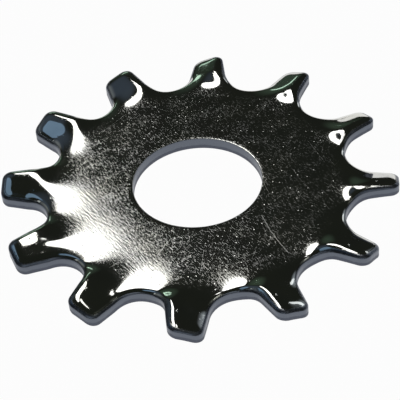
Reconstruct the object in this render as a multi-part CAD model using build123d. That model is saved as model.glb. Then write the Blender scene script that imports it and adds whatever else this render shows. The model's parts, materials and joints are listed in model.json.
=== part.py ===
from build123d import *

import os
from collections import Counter
from math import cos, hypot, radians, sin, tan

# External-tooth lock washer, stamped and formed from one piece of sheet steel.
#
# The plate lies level, its middle plane on XY and its bore on the Z axis. Twelve teeth
# stand out from the rim. Each is twisted about its own radial line, so that one flank is
# pressed down and the other raised, and the corners bite into the nut and into the joint.
# The punch that cuts the outline goes in from above, so it rolls the upper rim over and
# leaves the lower rim sharp. The bore is cut last and is sharp at both ends.

# Driving dimensions, in millimetres and degrees.
BORE_DIAMETER = 6.4
ROOT_DIAMETER = 15.15
TIP_DIAMETER = 19.8
THICKNESS = 0.66
TOOTH_COUNT = 12
TIP_WIDTH = 1.5
FLANK_SLOPE = 9.0
TIP_CORNER_CUT = 0.3
TWIST_ANGLE = 22.0
TWIST_START = 7.4
TWIST_END = 8.6
EDGE_ROLL_RADIUS = 0.28

# Sizes that follow from them. Each gullet between two teeth is a round hollow that touches
# the root circle and runs straight on into both flanks.
PITCH_ANGLE = 360 / TOOTH_COUNT
ROOT_RADIUS = ROOT_DIAMETER / 2
TIP_RADIUS = TIP_DIAMETER / 2
TWIST_SLOPE = tan(radians(TWIST_ANGLE))
FLANK_OFFSET = TIP_RADIUS * sin(radians(FLANK_SLOPE)) + TIP_WIDTH / 2 * cos(radians(FLANK_SLOPE))
GULLET_LEAN = radians(PITCH_ANGLE / 2 + FLANK_SLOPE)
GULLET_RADIUS = (ROOT_RADIUS * sin(GULLET_LEAN) - FLANK_OFFSET) / (1 - sin(GULLET_LEAN))

# Reach of the cutting bodies: past half a tooth's root sideways, and well clear of the part.
HALF_REACH = 2.2
CLEARANCE = 3.0
PAST_TIP = TIP_RADIUS + 0.5

# A skin face looks mostly up, a wall looks sideways, and this sine tells them apart.
UPWARD = 0.5


def around(shape, start=0.0):
    """Copies of a shape at every tooth pitch, the first turned to the start angle."""
    return [Rot(0, 0, start + step * PITCH_ANGLE) * shape for step in range(TOOTH_COUNT)]


def gullet():
    """The gap between two teeth, lying along +X: a round root and a mouth that widens."""
    centre = ROOT_RADIUS + GULLET_RADIUS
    x = centre - GULLET_RADIUS * sin(GULLET_LEAN)
    y = GULLET_RADIUS * cos(GULLET_LEAN)
    far_x = x + CLEARANCE * cos(GULLET_LEAN)
    far_y = y + CLEARANCE * sin(GULLET_LEAN)
    mouth = Polygon((x, -y), (far_x, -far_y), (far_x, far_y), (x, y), align=None)
    return Pos(centre, 0) * Circle(GULLET_RADIUS) + mouth


def flat_outline():
    """The blank before forming: straight tips with blunted corners, and no bore yet."""
    stock = Rot(0, 0, PITCH_ANGLE / 2) * RegularPolygon(TIP_RADIUS, TOOTH_COUNT, major_radius=False)
    toothed = stock - around(gullet(), PITCH_ANGLE / 2)
    corners = [vertex for vertex in toothed.vertices() if hypot(vertex.X, vertex.Y) > TIP_RADIUS]
    return chamfer(corners, TIP_CORNER_CUT)


def twist_curve(side):
    """S-curve of the sheet's upper skin beside a tooth, level at one end and formed at the other."""
    run = (TWIST_END - TWIST_START) / 3
    y = side * HALF_REACH
    level = THICKNESS / 2
    formed = level - y * TWIST_SLOPE
    return Bezier(
        (TWIST_START, y, level),
        (TWIST_START + run, y, level),
        (TWIST_END - run, y, formed),
        (TWIST_END, y, formed),
    )


def twisted_strip():
    """A strip of sheet along +X that twists between two S-curves and then runs on flat."""
    raised = twist_curve(-1)
    lowered = twist_curve(1)
    ramp = Face.make_surface_from_curves(raised.edge(), lowered.edge())
    ramp_end = Edge.make_line(raised @ 1, lowered @ 1)
    facet = Face.extrude(ramp_end, Vector(PAST_TIP - TWIST_END, 0, 0))
    through = Vector(0, 0, -THICKNESS)
    return Solid.extrude(ramp, through) + Solid.extrude(facet, through)


def tooth_zone():
    """The space along +X that one tooth takes up, from the start of its twist outwards."""
    length = PAST_TIP - TWIST_START
    return Pos(TWIST_START + length / 2, 0, 0) * Box(length, 2 * HALF_REACH, 2 * CLEARANCE)


def upper_rim(body):
    """Edges round the upper skin of a washer with no bore. A seam between two skin faces isn't one."""
    skin = [face for face in body.faces() if face.normal_at(face.center()).Z > UPWARD]
    uses = Counter(edge for face in skin for edge in face.edges())
    return [edge for edge, count in uses.items() if count == 1]


def washer():
    """Level plate and twisted teeth in one solid, its upper rim rolled over, and then bored."""
    outline = flat_outline()
    zone = tooth_zone()
    tooth = twisted_strip() & extrude(outline, CLEARANCE, both=True) & zone
    plate = extrude(outline, THICKNESS / 2, both=True) - around(zone)
    formed = plate + around(tooth)
    rolled = fillet(upper_rim(formed), EDGE_ROLL_RADIUS)
    return rolled - Cylinder(BORE_DIAMETER / 2, 2 * CLEARANCE)


os.makedirs("parts", exist_ok=True)
export_step(washer(), "parts/washer.step")
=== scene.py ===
# %% [markdown]
# A toothed lock washer is blanked and formed from one strip of sheet steel, then plated.
# The solid of it comes in as a frame that fixes every size. This script gives the washer
# its real skin: the soft bends round the teeth, the rolled and the sheared edges, and a
# bright finish with the grain of the strip and the scratches of handling.

# %% Load the frame
import json
import math

import bpy
import numpy as np
from mathutils import Matrix, Vector


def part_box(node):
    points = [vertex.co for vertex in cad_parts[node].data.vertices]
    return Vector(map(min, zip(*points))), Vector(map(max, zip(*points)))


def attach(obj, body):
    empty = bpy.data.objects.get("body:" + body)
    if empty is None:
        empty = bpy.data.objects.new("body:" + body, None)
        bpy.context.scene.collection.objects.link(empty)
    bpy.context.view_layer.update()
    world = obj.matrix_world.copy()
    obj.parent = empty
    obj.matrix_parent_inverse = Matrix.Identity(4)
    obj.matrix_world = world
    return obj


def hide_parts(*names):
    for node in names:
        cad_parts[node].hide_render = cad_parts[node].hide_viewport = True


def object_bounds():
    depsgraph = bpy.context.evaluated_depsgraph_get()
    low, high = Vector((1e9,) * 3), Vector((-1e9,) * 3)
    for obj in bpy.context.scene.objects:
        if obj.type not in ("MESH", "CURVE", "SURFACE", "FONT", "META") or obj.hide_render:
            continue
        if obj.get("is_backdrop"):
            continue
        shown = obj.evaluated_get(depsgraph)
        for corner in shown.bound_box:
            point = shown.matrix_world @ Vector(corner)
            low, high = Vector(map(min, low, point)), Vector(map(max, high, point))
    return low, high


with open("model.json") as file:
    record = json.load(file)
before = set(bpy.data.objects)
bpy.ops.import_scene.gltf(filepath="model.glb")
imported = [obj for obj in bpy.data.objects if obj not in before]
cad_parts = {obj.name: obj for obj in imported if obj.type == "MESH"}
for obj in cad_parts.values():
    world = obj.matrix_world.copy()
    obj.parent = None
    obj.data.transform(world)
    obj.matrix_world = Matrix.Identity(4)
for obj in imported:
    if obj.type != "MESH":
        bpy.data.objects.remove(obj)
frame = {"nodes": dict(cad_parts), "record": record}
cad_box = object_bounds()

MM = 0.001


def in_mm(point):
    """A point's coordinates in millimetres, rounded for printing."""
    return [round(c / MM, 3) for c in point]


print("frame:", sorted(frame["nodes"]), "from", in_mm(cad_box[0]), "to", in_mm(cad_box[1]), "mm")

# %% [markdown]
# Everything is drawn in millimetres and made into metres when the mesh is written. The
# overall sizes come from the frame: the reach of the teeth from the box of the solid, and
# the bore and the sheet's thickness from the hole that the record states. The others are
# the sizes of the forming tool, which the punched outline and the bends follow.

# %% Driving dimensions
bore = next(mount for mount in frame["record"]["mounts"] if mount["name"] == "bore")
_, box_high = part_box("washer")
BORE_RADIUS = bore["dims"]["r_mm"]
THICKNESS = bore["dims"]["length_mm"]
TIP_RADIUS = box_high.x / MM

TOOTH_COUNT = 12
ROOT_RADIUS = 7.575
TIP_WIDTH = 1.49
FLANK_SLOPE = math.radians(9.0)
TIP_CORNER_RADIUS = 0.5
HALF_PITCH = math.pi / TOOTH_COUNT

print(f"bore {2 * BORE_RADIUS:.2f}, teeth out to {TIP_RADIUS:.2f}, sheet {THICKNESS:.2f} mm")

# %% [markdown]
# The outline of a blanked part is cut by straight and round pieces of a punch. Half a tooth
# needs four of them, each tangent to the next: the straight tip, a corner arc, the straight
# flank, and the arc of the gullet. A point on an arc is its centre plus the radius along the
# normal, so the direction of the normal is the one parameter that places everything. A spline
# through picked points would be shorter to write, but its curvature wobbles, and on a mirror
# finish that shows.
#
# The die rolls the upper edge over, and the roll starts from an outline of the same kind with
# other sizes. Moving the punched outline in along its normals would fold at the tip corners,
# because the roll reaches further in than the corner's radius. Two outlines with the same
# number of stations can be joined point to point instead.

# %% The outline of one tooth
TIP_STEPS, CORNER_STEPS, FLANK_STEPS, GULLET_STEPS = 5, 8, 11, 15


def smooth(t):
    """S-shaped step: 0 up to t = 0, 1 from t = 1, and three t squared less two t cubed between."""
    t = np.clip(t, 0.0, 1.0)
    return t * t * (3.0 - 2.0 * t)


def half_outline(tip_x, flank_offset, corner_radius, root_radius):
    """Half a tooth's outline, from the middle of its tip to the middle of the gullet.

    The flank is a line that passes the washer's centre at flank_offset. Returns x, y and the
    angle of the outward normal, with x along the tooth. An arc's points are its centre plus its
    radius along the normal. The gullet is hollow, so its radius counts as negative there.
    """
    nx, ny = math.sin(FLANK_SLOPE), math.cos(FLANK_SLOPE)
    flank_normal = math.pi / 2 - FLANK_SLOPE
    corner_x = tip_x - corner_radius
    corner_y = (flank_offset - corner_radius - nx * corner_x) / ny
    lean = math.sin(HALF_PITCH + FLANK_SLOPE)
    gullet_radius = (root_radius * lean - flank_offset) / (1 - lean)
    gullet_reach = root_radius + gullet_radius
    gullet_x, gullet_y = gullet_reach * math.cos(HALF_PITCH), gullet_reach * math.sin(HALF_PITCH)

    tip_y = np.linspace(0, corner_y, TIP_STEPS, endpoint=False)
    turn = np.linspace(0, flank_normal, CORNER_STEPS, endpoint=False)
    back = np.linspace(flank_normal, HALF_PITCH, GULLET_STEPS)
    along = np.linspace(0, 1, FLANK_STEPS, endpoint=False)
    start = (corner_x + corner_radius * nx, corner_y + corner_radius * ny)
    end = (gullet_x - gullet_radius * nx, gullet_y - gullet_radius * ny)

    x = np.concatenate([
        np.full(TIP_STEPS, tip_x),
        corner_x + corner_radius * np.cos(turn),
        start[0] + (end[0] - start[0]) * along,
        gullet_x - gullet_radius * np.cos(back),
    ])
    y = np.concatenate([
        tip_y,
        corner_y + corner_radius * np.sin(turn),
        start[1] + (end[1] - start[1]) * along,
        gullet_y - gullet_radius * np.sin(back),
    ])
    normal = np.concatenate([np.zeros(TIP_STEPS), turn, np.full(FLANK_STEPS, flank_normal), back])
    return np.stack([x, y, normal])


def whole_tooth(raised_half, lowered_half):
    """Both halves of a tooth in one run, from the middle of one gullet to just before the next."""
    mirror = np.array([[1.0], [-1.0], [-1.0]])
    return np.concatenate([mirror * raised_half[:, :0:-1], lowered_half[:, :-1]], axis=1)


FLANK_OFFSET = TIP_RADIUS * math.sin(FLANK_SLOPE) + TIP_WIDTH / 2 * math.cos(FLANK_SLOPE)

half_rim = half_outline(TIP_RADIUS, FLANK_OFFSET, TIP_CORNER_RADIUS, ROOT_RADIUS)
rim_x, rim_y, rim_normal = whole_tooth(half_rim, half_rim)
STATIONS = len(rim_x)
print(f"outline: {STATIONS} stations a tooth, {STATIONS * TOOTH_COUNT} round the washer")

# %% [markdown]
# The teeth are bent after blanking. A die pushes one flank of each tooth down and the other
# up, so the sheet slopes across the tooth, and the bend runs out into the plate as a low
# wave. Metal gathers at the root of the raised flank, as a slight shoulder. The plate is
# dished by a few hundredths of a millimetre, and the tips come up again as they leave the die.
# Seen from above the outline stays as it was punched: the sheet is only moved up or down. So
# the whole form is one height over the plan, a function of x along the tooth and y across it.
# Rotating each tooth as a stiff block would crease the sheet at the root, and a subdivided
# cage would round the outline off; a height leaves both alone.

# %% The height of the sheet
TWIST = math.tan(math.radians(17.8))
TWIST_START, TWIST_END, TWIST_EASE = 5.97, 8.56, 2.47
TWIST_AXIS = 0.11
WAVE_HEIGHT, WAVE_TURN = 0.206, 1.12
WAVE_EDGE, WAVE_SOFT, WAVE_REACH = 7.4, 0.56, 0.376
WAVE_FADE_START, WAVE_FADE_LENGTH = 7.0, 5.3
DROOP_SLOPE = 0.017
CURL_SLOPE, CURL_START = 0.026, 6.83
SHOULDER_HEIGHT, SHOULDER_PLACE, SHOULDER_SIZE = 0.072, (7.86, -0.86), (0.445, 0.66)


def sheet_height(x, y):
    """Height of the sheet's middle surface over the plan, in millimetres.

    The twist is the slope times the distance across the tooth, eased in along the tooth and
    faded out towards the gullets. The wave is a sine with one period a tooth, strongest at the
    root and dying away exponentially into the plate. Its distance inside the edge is the
    logarithm of one plus an exponential, which is a ramp with a rounded start. The droop is a
    shallow bowl turned over, level with the plate at the bore. The curl is a square that starts
    part of the way out along the tooth, and the shoulder is a bell curve in both directions.
    """
    radius, angle = np.hypot(x, y), np.arctan2(y, x)
    ease = np.clip((x - TWIST_START) / (TWIST_END - TWIST_START), 0, 1) ** TWIST_EASE
    window = 1 - smooth(np.abs(angle) / HALF_PITCH)
    twist = -TWIST * smooth(ease) * (y - TWIST_AXIS) * window
    inside = WAVE_SOFT * np.logaddexp(0, (WAVE_EDGE - radius) / WAVE_SOFT)
    fade = 1 - smooth((radius - WAVE_FADE_START) / WAVE_FADE_LENGTH)
    reach = np.exp(-inside / WAVE_REACH) * fade
    wave = -WAVE_HEIGHT * reach * np.sin(TOOTH_COUNT * angle - WAVE_TURN)
    droop = -DROOP_SLOPE * (radius**2 - BORE_RADIUS**2) / (2 * ROOT_RADIUS)
    curl = CURL_SLOPE * np.clip(x - CURL_START, 0, None) ** 2 / (2 * (TIP_RADIUS - CURL_START))
    off_x = (x - SHOULDER_PLACE[0]) / SHOULDER_SIZE[0]
    off_y = (y - SHOULDER_PLACE[1]) / SHOULDER_SIZE[1]
    shoulder = SHOULDER_HEIGHT * np.exp(-off_x**2 - off_y**2)
    return twist + wave + droop + curl + shoulder


raised, lowered = (sheet_height(TIP_RADIUS, side * TIP_WIDTH / 2) for side in (-1, 1))
print(f"the raised corner of a tip at {raised:+.3f}, the lowered one at {lowered:+.3f} mm")

# %% [markdown]
# The skin is a grid. One way runs round the outline, the other is the section of the sheet:
# out along the upper face from the bore, over the rolled edge, down the sheared wall and back
# along the lower face. Each row is a station's point on the way from a circle to the outline,
# with an inset and a depth. The section closes on itself, as the outline does, so the grid is a
# ring with no seam, no pole and no cap, and every face is a quad.

# %% The edge that the roll starts from
ROLL_DEPTH = 0.21
RAISED_REACH, LOWERED_REACH, TIP_REACH, GULLET_REACH = 0.58, 0.44, 0.61, 0.24
ROLL_CORNER_RADIUS = 0.17


def half_edge(flank_reach):
    """Half a tooth's outline at the start of the roll, this far in from the flank."""
    tip_x, root_radius = TIP_RADIUS - TIP_REACH, ROOT_RADIUS - GULLET_REACH
    return half_outline(tip_x, FLANK_OFFSET - flank_reach, ROLL_CORNER_RADIUS, root_radius)


edge_x, edge_y, _ = whole_tooth(half_edge(RAISED_REACH), half_edge(LOWERED_REACH))
roll_width = np.hypot(rim_x - edge_x, rim_y - edge_y)
print(f"roll {roll_width.min():.2f} to {roll_width.max():.2f} mm wide, {ROLL_DEPTH} mm deep")

# %% The rows of the section
BURR_RADIUS = 0.035
BORE_EDGE = 0.025
INNER_CIRCLE = 5.6
HALF = THICKNESS / 2
PLATE_ROWS, TOOTH_ROWS, ROLL_ROWS, WALL_ROWS = 10, 42, 12, 6
EDGE_ROWS, UNDER_ROWS, BORE_ROWS = 4, 6, 5
END_BUNCHING = 0.35


def section_rows():
    """The section of the sheet, row by row: circle radius, share, roll, inset and depth.

    A row lies on its circle where the share is 0. Where the share is 1 it lies on the edge that
    the roll starts from where the roll is 0 and on the rim where the roll is 1, moved in by the
    inset. The depth is measured from the sheet's middle surface. Round edges are quarter
    circles, and the roll is a quarter of an ellipse. Between the inner circle and the roll the
    rows lie a little closer together at both ends, and the lower face has half as many.
    """
    quarter = np.linspace(0, math.pi / 2, ROLL_ROWS)
    edge = np.linspace(0, math.pi / 2, EDGE_ROWS)
    rise, fall = 1 - np.cos(edge), 1 - np.sin(edge)
    even = np.linspace(0, 1, TOOTH_ROWS)[1:-1]
    out = smooth(even) * END_BUNCHING + even * (1 - END_BUNCHING)
    plate = np.linspace(BORE_RADIUS + BORE_EDGE, INNER_CIRCLE, PLATE_ROWS)[1:]
    under = np.linspace(INNER_CIRCLE, BORE_RADIUS + BORE_EDGE, UNDER_ROWS)[:-1]
    wall_depth = np.linspace(HALF - ROLL_DEPTH, BURR_RADIUS - HALF, WALL_ROWS)[1:-1]
    bore_depth = np.linspace(BORE_EDGE - HALF, HALF - BORE_EDGE, BORE_ROWS)[1:-1]
    rows = []

    def add(circle, share, roll, inset, depth):
        rows.append(np.column_stack(np.broadcast_arrays(circle, share, roll, inset, depth)))

    add(BORE_RADIUS + BORE_EDGE * rise, 0, 0, 0, HALF - BORE_EDGE * fall)
    add(plate, 0, 0, 0, HALF)
    add(INNER_CIRCLE, out, 0, 0, HALF)
    add(INNER_CIRCLE, 1, np.sin(quarter), 0, HALF - ROLL_DEPTH * (1 - np.cos(quarter)))
    add(INNER_CIRCLE, 1, 1, 0, wall_depth)
    add(INNER_CIRCLE, 1, 1, BURR_RADIUS * rise, BURR_RADIUS * fall - HALF)
    add(INNER_CIRCLE, out[::-2], 1, BURR_RADIUS, -HALF)
    add(under, 0, 1, 0, -HALF)
    add(BORE_RADIUS + BORE_EDGE * fall, 0, 1, 0, BORE_EDGE * rise - HALF)
    add(BORE_RADIUS, 0, 1, 0, bore_depth)
    return np.concatenate(rows)


rows = section_rows()
print(f"section: {len(rows)} rows, {2 * len(rows) * STATIONS * TOOTH_COUNT} triangles in all")

# %% [markdown]
# No two teeth come out of the die quite alike. A seeded draw makes each a little shorter, in
# millimetres, and a little wider and less twisted, as shares of its own width and twist. All
# of it fades to nothing at the gullets, so neighbouring teeth still meet exactly.

# %% Small differences between the teeth
SEED = 12
MOST_SHORTER, MOST_WIDER, MOST_UNTWISTED = 0.06, 0.03, 0.06
OWN_START, OWN_LENGTH = 7.8, 1.6

draw = np.random.default_rng(SEED)
tooth_shorter = draw.uniform(0.0, MOST_SHORTER, TOOTH_COUNT)
tooth_wider = draw.uniform(-MOST_WIDER, MOST_WIDER, TOOTH_COUNT)
tooth_twist = draw.uniform(-MOST_UNTWISTED, 0.0, TOOTH_COUNT)
print("shorter by", tooth_shorter.round(3), "mm")

# %% The grid of the skin
def skin_grid():
    """The washer's whole surface as rows x stations x 3, in millimetres.

    In plan a point lies between its circle and its place on the roll, by the row's share. Its
    height is the sheet's height there plus the row's depth, and each tooth is then turned to
    its place.
    """
    circle, share, roll, inset, depth = (rows[:, column, None, None] for column in range(5))
    angle = np.linspace(-HALF_PITCH, HALF_PITCH, STATIONS, endpoint=False)
    outer_x = edge_x + roll * (rim_x - edge_x) - inset * np.cos(rim_normal)
    outer_y = edge_y + roll * (rim_y - edge_y) - inset * np.sin(rim_normal)
    x = (1 - share) * circle * np.cos(angle) + share * outer_x
    y = (1 - share) * circle * np.sin(angle) + share * outer_y

    out = smooth((x - OWN_START) / OWN_LENGTH)
    own_twist = tooth_twist[:, None] * -TWIST * y * out
    height = sheet_height(x, y) + own_twist + depth
    x = x - tooth_shorter[:, None] * out
    y = y * (1 + tooth_wider[:, None] * out)

    turn = (np.arange(TOOTH_COUNT) * 2 * HALF_PITCH)[:, None]
    points = np.stack([
        x * np.cos(turn) - y * np.sin(turn),
        x * np.sin(turn) + y * np.cos(turn),
        height,
    ], axis=-1)
    return points.reshape(len(rows), -1, 3)


skin = skin_grid()
print("skin", skin.shape, "low", skin.min((0, 1)).round(3), "high", skin.max((0, 1)).round(3))

# %% [markdown]
# The grid becomes one mesh. Neighbouring rows and stations make the quads, with both
# directions taken round the corner, so the surface closes. The run along the rim and the run
# along the section go into a UV map, for the marks that the punch leaves on the wall.

# %% Mesh from a closed grid
def closed_mesh(name, grid):
    """A mesh of quads over a grid that wraps round in both directions, with its UV map."""
    row_count, station_count = grid.shape[:2]
    row, station = np.meshgrid(np.arange(row_count), np.arange(station_count), indexing="ij")
    next_row, next_station = (row + 1) % row_count, (station + 1) % station_count
    corners = [(row, station), (next_row, station), (next_row, next_station), (row, next_station)]
    faces = np.stack([r * station_count + s for r, s in corners], axis=-1).reshape(-1, 4)

    mesh = bpy.data.meshes.new(name)
    mesh.from_pydata(grid.reshape(-1, 3) * MM, [], faces)
    mesh.polygons.foreach_set("use_smooth", np.ones(len(faces), bool))

    def run(axis):
        """Distance covered along one direction of the grid, as a mean over the other."""
        steps = np.linalg.norm(np.roll(grid, -1, axis) - grid, axis=-1).mean(1 - axis)
        return np.concatenate([[0], np.cumsum(steps)])

    section_run, rim_run = run(0), run(1)
    u = np.stack([rim_run[station + step] for step in (0, 0, 1, 1)], axis=-1)
    v = np.stack([section_run[row + step] for step in (0, 1, 1, 0)], axis=-1)
    mesh.uv_layers.new(name="runs").data.foreach_set("uv", np.stack([u, v], axis=-1).ravel())
    return mesh


def set_attribute(mesh, name, values):
    """One number for each point of the mesh, which the finish reads by name."""
    attribute = mesh.attributes.new(name, "FLOAT", "POINT")
    attribute.data.foreach_set("value", values.astype(np.float32).ravel())


mesh = closed_mesh("washer_skin", skin)
washer = bpy.data.objects.new("washer_skin", mesh)
bpy.context.scene.collection.objects.link(washer)
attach(washer, "root")
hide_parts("washer")
print("mesh:", len(mesh.vertices), "points,", len(mesh.polygons), "quads")

# %% [markdown]
# The finish has to know where on the washer it is. The sheared part is the wall round the
# teeth and the wall of the bore. Its mask also takes in the lower part of the roll and part of
# the bore's rounded edge, which were not sheared: there the wall's dark colour is painted shade,
# which dims the pale floor's reflection and a bright line on the bore's rim. The bent part is
# what the die pressed smooth: all that lies outside a circle near the roots, and the last
# quarter of the way out to the roll. The drop below the upper face, as a share of the
# thickness, tells the torn part of a wall from the cut one. An attribute holds each of them,
# point by point.

# %% Where the sheet was sheared and bent, and where shade is painted
# The mask starts this far down the roll, which the die formed and did not shear: from there the
# dark wall colour is painted shade. The bore's rounded edge is taken in this far for the same
# painted shade.
SHADED_ROLL_FROM, SHADED_ROLL_OVER = 0.64, 0.17
SHADED_BORE_EDGE = 0.7
BENT_FROM, BENT_OVER = 6.7, 0.9
BENT_SHARE = 0.75

columns = (np.broadcast_to(column[:, None], skin.shape[:2]) for column in rows.T)
circle, share, roll, _, depth = columns
# On the lower roll and the bore's rounded edge this mask lays painted shade: the dark wall colour
# where no cut was.
on_bore = circle < BORE_RADIUS + SHADED_BORE_EDGE * BORE_EDGE
on_wall_and_shaded_roll = smooth((roll - SHADED_ROLL_FROM) / SHADED_ROLL_OVER) * (share == 1) * (depth > -HALF)
sheared_and_shaded_part = np.maximum(on_wall_and_shaded_roll, on_bore)
bent_by_radius = smooth((np.hypot(skin[..., 0], skin[..., 1]) - BENT_FROM) / BENT_OVER)
bent_part = np.maximum(bent_by_radius, smooth((share - BENT_SHARE) / (1 - BENT_SHARE)))
set_attribute(mesh, "sheared_and_shaded", sheared_and_shaded_part)
set_attribute(mesh, "wall_drop", (HALF - depth) / THICKNESS)
set_attribute(mesh, "bent", bent_part)
print(f"sheared {sheared_and_shaded_part.mean():.0%}, bent {bent_part.mean():.0%} of the points")

# %% [markdown]
# A finish is a recipe of nodes, and most of it is arithmetic on masks. Wiring Math nodes by
# hand buries that arithmetic, so one small class wraps a socket and lets the usual signs build
# the nodes: 1 - mask or mask * 0.3 read as what they are. Everything that isn't arithmetic
# goes through a single method, which takes the node's type, its settings and its inputs.

# %% Arithmetic on sockets
class Wire:
    """A node's output. Signs between wires and numbers add Math nodes, and add() any other."""

    def __init__(self, socket):
        self.socket = socket

    def add(self, kind, settings=None, inputs=None, output=0):
        """A new node beside this one. Settings come first, then numbers, colours and wires."""
        tree = self.socket.id_data
        node = tree.nodes.new(kind)
        for name, value in (settings or {}).items():
            setattr(node, name, value)
        for name, value in (inputs or {}).items():
            if isinstance(value, Wire):
                tree.links.new(value.socket, node.inputs[name])
            else:
                node.inputs[name].default_value = value
        return Wire(node.outputs[output])

    def math(self, operation, *values):
        """A Math node on wires and numbers."""
        return self.add("ShaderNodeMath", {"operation": operation}, dict(enumerate(values)))

    def __add__(self, other):
        return self.math("ADD", self, other)

    def __sub__(self, other):
        return self.math("SUBTRACT", self, other)

    def __rsub__(self, other):
        return self.math("SUBTRACT", other, self)

    def __mul__(self, other):
        return self.math("MULTIPLY", self, other)

    __radd__ = __add__
    __rmul__ = __mul__

    def between(self, low, high):
        """0 below low, 1 above high, smooth in between. With low above high it falls instead."""
        steps = {"Value": self, "From Min": low, "From Max": high}
        return self.add("ShaderNodeMapRange", {"interpolation_type": "SMOOTHSTEP"}, steps)

    def mix(self, first, second):
        """The colour first where this wire is 0, and second where it is 1.

        The Mix node has sockets for each type of data, and these are the places of its colours.
        """
        factor, color_a, color_b, color_out = 0, 6, 7, 2
        inputs = {factor: self, color_a: first, color_b: second}
        return self.add("ShaderNodeMix", {"data_type": "RGBA"}, inputs, color_out)

    def vector(self, operation, other, output="Vector"):
        """A Vector Math node on this wire and another wire or vector."""
        inputs = {0: self, 1: other}
        return self.add("ShaderNodeVectorMath", {"operation": operation}, inputs, output)

    def channels(self):
        """The red and the green of this colour, as two wires."""
        red = self.add("ShaderNodeSeparateColor", {}, {"Color": self}, "Red")
        return red, Wire(red.socket.node.outputs["Green"])


def new_finish(name):
    """An empty material. Returns it with its shader and a wire of the Object coordinates."""
    material = bpy.data.materials.new(name)
    material.use_nodes = True
    shader = material.node_tree.nodes["Principled BSDF"]
    coordinates = material.node_tree.nodes.new("ShaderNodeTexCoord")
    return material, shader, Wire(coordinates.outputs["Object"])


def feed(shader, **inputs):
    """Sets or links the shader's inputs, named with low lines for spaces."""
    for name, value in inputs.items():
        socket = shader.inputs[name.replace("_", " ")]
        if isinstance(value, Wire):
            shader.id_data.links.new(value.socket, socket)
        else:
            socket.default_value = value


print("socket arithmetic ready")

# %% [markdown]
# Bright zinc over rolled steel is a mirror with flaws. The strip keeps the fine, drawn-out
# grain of the rolls, which spreads a reflection across the grain and breaks its edge into
# glints. Here and there the grain is open enough to be dull, in dashes that come in patches.
# Bending and the die's pressure iron it out, so the teeth and the rim are smoother. Handling
# leaves hairlines in every direction and small dents. All of it is far finer than the mesh,
# so it is bump, with depths in true millimetres, and a change in roughness.
#
# A scratch needs a place, a direction and a length. Voronoi cells give all three: a cell's
# own point is the middle of its scratch, and the cell's random colour turns it. The distance
# from a line through that point is a dot product. Three sets of scratches, each with its own
# spacing and seed, lie over one another.

# %% Grain, dents and hairlines
GRAIN_TURN = math.radians(-50)
GRAIN_LENGTH, GRAIN_WIDTH, GRAIN_DEPTH = 0.30, 0.10, 0.0024
DASH_LENGTH, DASH_WIDTH, DASH_EDGE = 0.2, 0.075, (0.52, 0.64)
PATCH_LENGTH, PATCH_WIDTH, PATCH_TURN, PATCH_STRENGTH = 1.1, 0.8, 0.4, 0.35
DENT_SPACING, DENT_RADIUS, DENT_DEPTH = 0.42, 0.055, 0.006
SMALLEST_DENT, DENT_CHANCE = 0.4, (0.55, 0.6)
HAIR_WIDTH, HAIR_END, HAIR_CHANCE = 0.012, (0.5, 0.3), (0.5, 0.55)
HAIR_SETS = (2.4, 3), (1.5, 11), (0.8, 23)


def scaled(place, length, width, turn=0.0, seed=0.0):
    """Coordinates in which a feature of this length and width, in millimetres, is one unit."""
    shifted = place.vector("ADD", (seed * MM, 0, 0))
    inputs = {"Vector": shifted, "Rotation": (0, 0, turn), "Scale": (length * MM, width * MM, 1.0)}
    return place.add("ShaderNodeMapping", {"vector_type": "TEXTURE"}, inputs)


def noise(place, rough=0.5):
    """Soft noise between 0 and 1, with features about one unit across."""
    inputs = {"Vector": place, "Scale": 1.0, "Detail": 2.0, "Roughness": rough}
    return place.add("ShaderNodeTexNoise", {}, inputs)


def cells(place):
    """Voronoi cells one unit apart: the distance to a cell's point, its colour and that point."""
    settings = {"feature": "F1", "voronoi_dimensions": "2D"}
    inputs = {"Vector": place, "Scale": 1.0}
    distance = place.add("ShaderNodeTexVoronoi", settings, inputs, "Distance")
    node = distance.socket.node
    return distance, Wire(node.outputs["Color"]), Wire(node.outputs["Position"])


def hairlines(place, spacing, seed):
    """One scratch a cell: 1 on its line, 0 beside it and past its end, and 0 in half the cells."""
    where = scaled(place, spacing, spacing, seed=seed)
    _, color, middle = cells(where)
    red, chance = color.channels()
    turn = red * math.pi
    cosine, sine = turn.math("COSINE", turn), turn.math("SINE", turn)
    way = turn.add("ShaderNodeCombineXYZ", {}, {"X": cosine, "Y": sine})
    side = turn.add("ShaderNodeCombineXYZ", {}, {"X": sine, "Y": cosine * -1})
    away = where.vector("SUBTRACT", middle)
    across = away.vector("DOT_PRODUCT", side, "Value")
    along = away.vector("DOT_PRODUCT", way, "Value")
    line = across.math("ABSOLUTE", across).between(HAIR_WIDTH / spacing, 0.0)
    stretch = along.math("ABSOLUTE", along).between(*HAIR_END)
    return line * stretch * chance.between(*HAIR_CHANCE)


steel, steel_shader, place = new_finish("bright_plated_steel")
sheared_and_shaded = place.add("ShaderNodeAttribute", {"attribute_name": "sheared_and_shaded"}, output="Fac")
bent = place.add("ShaderNodeAttribute", {"attribute_name": "bent"}, output="Fac")
wall_drop = place.add("ShaderNodeAttribute", {"attribute_name": "wall_drop"}, output="Fac")
flat = 1 - bent

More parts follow.
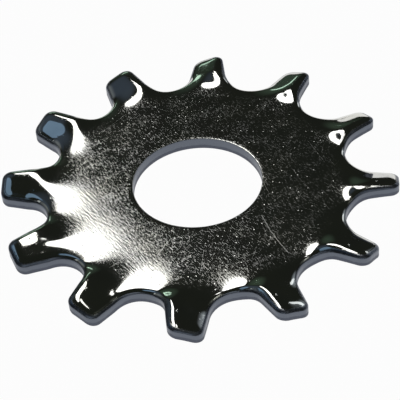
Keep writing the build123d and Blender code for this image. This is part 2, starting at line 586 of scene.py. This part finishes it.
grain = noise(scaled(place, GRAIN_LENGTH, GRAIN_WIDTH, GRAIN_TURN), rough=0.6)
dashes = noise(scaled(place, DASH_LENGTH, DASH_WIDTH, GRAIN_TURN, seed=5))
patches = noise(scaled(place, PATCH_LENGTH, PATCH_WIDTH, PATCH_TURN, seed=9))
dashes = (dashes + (patches - 0.5) * PATCH_STRENGTH).between(*DASH_EDGE)
distance, dent_color, _ = cells(scaled(place, DENT_SPACING, DENT_SPACING))
dent_draw, dent_chance = dent_color.channels()
dent_size = dent_draw * (1 - SMALLEST_DENT) + SMALLEST_DENT
dent = distance.between(dent_size * (DENT_RADIUS / DENT_SPACING), 0.0)
dent = dent * dent_chance.between(*DENT_CHANCE)
hair = sum(hairlines(place, spacing, seed) for spacing, seed in HAIR_SETS)
print("grain", GRAIN_LENGTH, "x", GRAIN_WIDTH, "mm, dashes", DASH_LENGTH, "x", DASH_WIDTH, "mm")

# %% One long scratch
SCRATCH_CENTER, SCRATCH_RADIUS, SCRATCH_WIDTH = (12.6, 0.94, HALF), 9.94, 0.03
SCRATCH_NEAR, SCRATCH_FAR = (-5.1, -4.7), (-2.3, -2.5)
SCRATCH_STRENGTH = 2


def long_scratch(place):
    """Part of a circle: 1 at its radius from its middle, fading in and out between values of y."""
    middle = [c * MM for c in SCRATCH_CENTER]
    off = place.vector("DISTANCE", middle, "Value") - SCRATCH_RADIUS * MM
    line = off.math("ABSOLUTE", off).between(SCRATCH_WIDTH * MM, 0.0)
    y = place.add("ShaderNodeSeparateXYZ", {}, {"Vector": place}, "Y") * (1 / MM)
    return line * y.between(*SCRATCH_NEAR) * y.between(*SCRATCH_FAR)


hair = hair + long_scratch(place) * SCRATCH_STRENGTH
print("long scratch of radius", SCRATCH_RADIUS, "mm")

# %% [markdown]
# The punch shears the lower part of the edge and tears it off at the end. The wall is duller
# than the faces: fine grooves run down it where the punch passed, and the torn zone below them
# is rough. Its base colour is darker and bluer than the faces', and darker again in the torn
# zone: part of that is the duller cut steel, and part is painted shade, with a painted blue
# reflection in the tint. The line between the two zones wavers, and a wide cloud of noise
# makes the torn one uneven.

# %% Sheared walls
# Both wall colours are partly the duller cut steel and partly painted shade, and their blue tint
# is a painted reflection.
SHADED_WALL_COLOR, SHADED_TORN_COLOR = (0.135, 0.15, 0.18, 1), (0.10, 0.11, 0.14, 1)
WALL_ROUGHNESS, TORN_ROUGHER, GROOVE_ROUGHER = 0.30, 0.15, 0.1
GROOVES_A_MM, GROOVE_DEPTH = (14.0, 1.2, 1.0), 0.012
TORN_SIZE, TORN_WAVER, TORN_EDGE, TORN_DEPTH = 0.5, 0.25, (0.62, 0.72), 0.01
CLOUD_LENGTH, CLOUD_WIDTH, CLOUD_TURN = 2.6, 1.9, 0.3

runs = place.add("ShaderNodeUVMap", {"uv_map": "runs"})
grooves = noise(runs.add("ShaderNodeMapping", {}, {"Vector": runs, "Scale": GROOVES_A_MM}))
waver = (noise(scaled(place, TORN_SIZE, TORN_SIZE)) - 0.5) * TORN_WAVER
torn = (wall_drop + waver).between(*TORN_EDGE)
cloud = noise(scaled(place, CLOUD_LENGTH, CLOUD_WIDTH, CLOUD_TURN))

shaded_wall_color = torn.mix(SHADED_WALL_COLOR, SHADED_TORN_COLOR)
wall_roughness = WALL_ROUGHNESS + torn * TORN_ROUGHER + grooves * GROOVE_ROUGHER
wall_relief = grooves * GROOVE_DEPTH + torn * cloud * TORN_DEPTH
print(f"torn from {TORN_EDGE[0] * THICKNESS:.2f} mm below the upper face")

# %% [markdown]
# The faces are pale, with a warm cloud here and there. Their roughness is that of the
# polished metal plus what each flaw adds, and bending takes all of it away but for a part of
# the dents. The mask of the sheared wall, which also carries the painted shade on the lower
# roll and the bore's edge, then chooses between the two finishes.

# %% The whole finish
FACE_COLOR, FACE_TINT, TINT_EDGE = (0.60, 0.60, 0.575, 1), (0.66, 0.655, 0.60, 1), (0.35, 0.7)
FACE_ROUGHNESS, CLOUD_ROUGHER, DASH_ROUGHER, HAIR_ROUGHER = 0.065, 0.035, 0.15, 0.20
DENT_LEFT = 0.25

face_color = cloud.between(*TINT_EDGE).mix(FACE_COLOR, FACE_TINT)
flaws = cloud * CLOUD_ROUGHER + dashes * DASH_ROUGHER + hair * HAIR_ROUGHER
face_roughness = FACE_ROUGHNESS + flat * flaws
dents = dent * DENT_DEPTH * (DENT_LEFT + flat * (1 - DENT_LEFT))
face_relief = flat * grain * GRAIN_DEPTH - dents

relief = face_relief * (1 - sheared_and_shaded) + sheared_and_shaded * wall_relief
bump = {"Strength": 1.0, "Distance": MM, "Height": relief}
feed(
    steel_shader,
    # The dark wall colour chosen here is partly painted shade on the walls, and wholly so on the
    # lower roll and the bore's edge.
    Base_Color=sheared_and_shaded.mix(face_color, shaded_wall_color),
    Metallic=1.0,
    Roughness=face_roughness * (1 - sheared_and_shaded) + wall_roughness * sheared_and_shaded,
    Normal=place.add("ShaderNodeBump", {}, bump, "Normal"),
)
mesh.materials.append(steel)
print("finish:", len(steel.node_tree.nodes), "nodes")

# %% [markdown]
# The washer lies on a plain pale floor. The floor is matt, and part of its brightness is its
# own, for the camera and for reflections alike, so it looks the same near and far and the metal
# shows it too. The rest is lit, and so it keeps the washer's shadow.

# %% Floor
FLOOR_HALF_SIDE = 6000 * MM
FLOOR_GAP = 0.001 * MM
FLOOR_COLOR, FLOOR_ROUGHNESS = (0.86, 0.86, 0.86, 1), 0.9
FLOOR_OWN_SHARE = 0.97

floor_mesh = bpy.data.meshes.new("floor")
floor_z = cad_box[0].z - FLOOR_GAP
ways = (-1, -1), (1, -1), (1, 1), (-1, 1)
corners = [(x * FLOOR_HALF_SIDE, y * FLOOR_HALF_SIDE, floor_z) for x, y in ways]
floor_mesh.from_pydata(corners, [], [(0, 1, 2, 3)])
floor = bpy.data.objects.new("floor", floor_mesh)
bpy.context.scene.collection.objects.link(floor)
floor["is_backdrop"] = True

paper, paper_shader, paper_place = new_finish("pale_floor")
feed(paper_shader, Base_Color=FLOOR_COLOR, Roughness=FLOOR_ROUGHNESS, Specular_IOR_Level=0.0)
path = paper_place.add("ShaderNodeLightPath").socket.node
seen = Wire(path.outputs["Is Camera Ray"]) + Wire(path.outputs["Is Glossy Ray"])
seen = seen + Wire(path.outputs["Is Transmission Ray"])
glow = paper_place.add("ShaderNodeEmission", {}, {"Color": (1, 1, 1, 1), "Strength": 1.0})
own_share = seen.math("MINIMUM", seen, 1.0) * FLOOR_OWN_SHARE
lit = Wire(paper_shader.outputs["BSDF"])
surface = paper_place.add("ShaderNodeMixShader", {}, {0: own_share, 1: lit, 2: glow})
end = paper.node_tree.nodes["Material Output"]
paper.node_tree.links.new(surface.socket, end.inputs["Surface"])
floor_mesh.materials.append(paper)
print("floor at", round(floor_z / MM, 3), "mm")

# %% [markdown]
# A mirror shows the room, so lighting it means placing what it shows. The camera looks down
# at the washer from the front. All directions are measured from its own, in degrees, so the
# lamps keep their places in the view if the camera is turned. The shift is how far to the
# right of the view's middle, and how far above it, the washer's middle comes.

# %% Camera
CAMERA_TURN, CAMERA_ELEVATION, CAMERA_ROLL = 7.28, 43.43, -5.67
CAMERA_DISTANCE = 71.0 * MM
CAMERA_SHIFT = (-0.104 * MM, 0.685 * MM)
LENS = 129.0


def heading(azimuth, elevation):
    """Unit vector at an azimuth, clockwise from the camera's own, and an elevation, in degrees."""
    angle, rise = math.radians(azimuth - CAMERA_TURN), math.radians(elevation)
    level = math.cos(rise)
    return Vector((math.sin(angle) * level, math.cos(angle) * level, math.sin(rise)))


ahead = heading(0, -CAMERA_ELEVATION)
right = heading(90, 0)
up = right.cross(ahead)
tilt = Matrix.Rotation(math.radians(CAMERA_ROLL), 3, right.cross(up))
right, up = tilt @ right, tilt @ up
camera_data = bpy.data.cameras.new("camera")
camera_data.lens = LENS
camera_data.sensor_width = 36.0
camera_data.clip_start = 0.001
camera_data.clip_end = 100.0
camera = bpy.data.objects.new("camera", camera_data)
station = -CAMERA_SHIFT[0] * right - CAMERA_SHIFT[1] * up - CAMERA_DISTANCE * ahead
facing = Matrix((right, up, -ahead)).transposed().to_4x4()
camera.matrix_world = Matrix.Translation(station) @ facing
bpy.context.scene.collection.objects.link(camera)
bpy.context.scene.camera = camera
print("camera at", in_mm(station), "mm")

# %% [markdown]
# One long soft box stands behind the washer and reaches overhead. The flat plate mirrors the
# dark beside it, and only the bends tilt enough to catch it, which draws every tooth. The
# other panels are dim or narrow: each puts a line or a tint on the faces that look its way. A
# lamp's edge shows in a mirror as a hard line, so what should stay soft is left to the room.

# %% Lamps
def panel(name, start, end, distance, width, radiance, color=(1, 1, 1)):
    """A flat oval lamp that reaches from one heading to another, seen from the washer.

    Its middle is half way, it faces the washer, and its length spans the angle between the two.
    Its distance and width are in metres. A lamp of one watt a square metre shines with a
    radiance of one over pi.
    """
    middle = (start + end).normalized()
    along = (start - end).normalized()
    across = middle.cross(along)
    length = 2 * distance * math.tan(start.angle(end) / 2)
    lamp_data = bpy.data.lights.new(name, "AREA")
    lamp_data.shape = "ELLIPSE"
    lamp_data.size, lamp_data.size_y = width, length
    lamp_data.energy = radiance * math.pi * (math.pi / 4 * width * length)
    lamp_data.color = color
    lamp = bpy.data.objects.new(name, lamp_data)
    facing = Matrix((across, along, middle)).transposed().to_4x4()
    lamp.matrix_world = Matrix.Translation(middle * distance) @ facing
    lamp.visible_camera = False
    bpy.context.scene.collection.objects.link(lamp)
    print(f"{name}: {width / MM:.0f} x {length / MM:.0f} mm, {lamp_data.energy:.3f} W")


panel("long_soft_box", heading(-16.1, 37.1), heading(44.8, 83.6), 0.237, 0.047, 3.0)
panel("overhead_strip", heading(34, 72), heading(88, 75), 0.3, 0.026, 2.2)
panel("back_strip", heading(108, 44), heading(136, 56), 0.3, 0.02, 1.4, (1.0, 1.0, 0.93))
panel("left_strip", heading(-96, 31), heading(-72, 40), 0.3, 0.018, 0.9, (0.92, 0.98, 1.0))
panel("blue_panel", heading(-50, 47), heading(-120, 62), 0.3, 0.085, 0.36, (0.42, 0.67, 1.0))
panel("mint_panel", heading(-24, 18), heading(-3, 14), 0.3, 0.018, 1.2, (0.7, 1.0, 0.82))
panel("right_panel", heading(36, 30), heading(56, 21), 0.3, 0.05, 1.2, (0.9, 0.95, 1.0))
panel("front_window", heading(150, 30), heading(-150, 30), 0.4, 0.2, 0.8, (0.85, 0.92, 1.0))

# %% [markdown]
# The room itself is dim and nearly even. A few wide, faint patches of light stand for its
# walls. Each is a smooth step on the cosine between a direction and the patch's own heading,
# so it has no edge.

# %% The room
ROOM_COLOR = (0.014, 0.016, 0.013)

world = bpy.data.worlds.new("dim_room")
world.use_nodes = True
background = world.node_tree.nodes["Background"]
direction = Wire(world.node_tree.nodes.new("ShaderNodeTexCoord").outputs["Generated"])


def wall_light(azimuth, elevation, reach, color):
    """A soft patch of light: full at its heading and gone at its reach, all in degrees."""
    closeness = direction.vector("DOT_PRODUCT", heading(azimuth, elevation), "Value")
    return closeness.between(math.cos(math.radians(reach)), 1.0).mix((0, 0, 0, 1), (*color, 1))


light = wall_light(-12, 14, 20, (0.03, 0.05, 0.035))
for patch in (
    wall_light(54, 17, 22, (0.24, 0.27, 0.31)),
    wall_light(-66, 16, 28, (0.16, 0.17, 0.17)),
    wall_light(118, 42, 24, (0.10, 0.105, 0.095)),
    wall_light(-48, 40, 26, (0.035, 0.048, 0.072)),
):
    light = light.vector("ADD", patch)
feed(background, Color=light.vector("ADD", ROOM_COLOR))
bpy.context.scene.world = world
bpy.context.scene.view_settings.view_transform = "Standard"
print("room", ROOM_COLOR)

# %% [markdown]
# The solid's box was printed at the start, and the skin's box is printed here. The skin has to
# stay inside the solid's box.

# %% Sizes
bpy.context.view_layer.update()
skin_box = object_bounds()
print("visual box from", in_mm(skin_box[0]), "to", in_mm(skin_box[1]), "mm")
